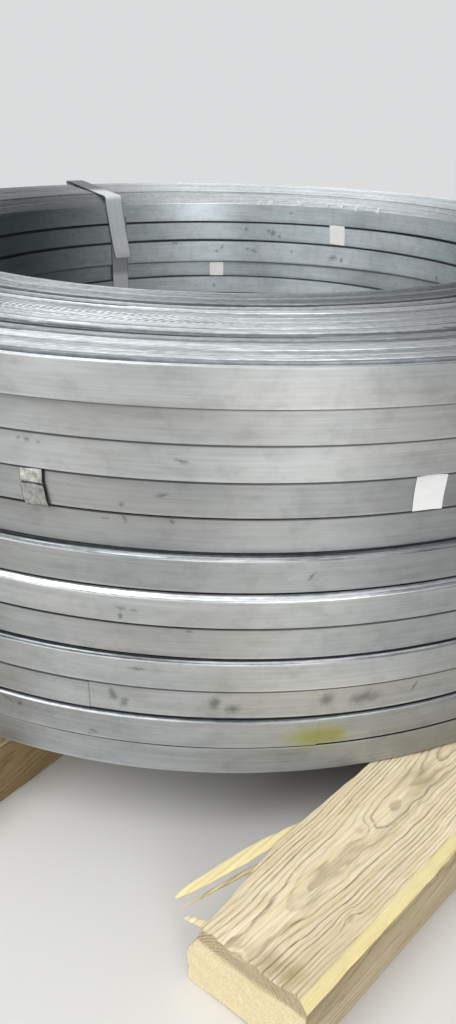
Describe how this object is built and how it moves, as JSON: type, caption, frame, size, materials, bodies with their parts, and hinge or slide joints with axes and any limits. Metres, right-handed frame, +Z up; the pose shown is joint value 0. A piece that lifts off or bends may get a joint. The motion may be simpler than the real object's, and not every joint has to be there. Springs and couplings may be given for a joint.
{
  "type": "strapped stack of slit steel strip coils",
  "caption": "Tall ring of narrow steel strip coils stacked eye upwards, tied with radial steel straps and resting on squared timber bearers.",
  "frame": {"origin": "on the axis of the eye at floor level, under the timber bearers, at the bottom centre of the whole stack", "axes": "+Z up along the eye; the timber bearers run along Y, and X crosses them"},
  "size_m": [0.7988, 0.9113, 0.31],
  "materials": {
    "strip_steel": "cold rolled strip steel, slit edges, satin",
    "strap_steel": "cold rolled steel strapping, satin",
    "clip_steel": "folded sheet steel, slightly mottled",
    "white_tape": "white plastic tape, semi gloss",
    "sawn_timber": "rough sawn softwood, weathered"
  },
  "bodies": {
    "root": {"strip_coil_01": "strip_steel", "strip_coil_02": "strip_steel", "strip_coil_03": "strip_steel", "strip_coil_04": "strip_steel", "strip_coil_05": "strip_steel", "strip_coil_06": "strip_steel", "strip_coil_07": "strip_steel", "strip_coil_08": "strip_steel", "strip_coil_09": "strip_steel", "strip_coil_10": "strip_steel", "strip_coil_11": "strip_steel", "strip_coil_12": "strip_steel", "steel_strap_1": "strap_steel", "steel_strap_2": "strap_steel", "steel_strap_3": "strap_steel", "outer_tape_1": "white_tape", "eye_tape_1": "white_tape", "eye_tape_2": "white_tape", "wrap_clip": "clip_steel", "timber_bearer_1": "sawn_timber", "timber_bearer_2": "sawn_timber", "timber_bearer_3": "sawn_timber"}
  },
  "joints": []
}
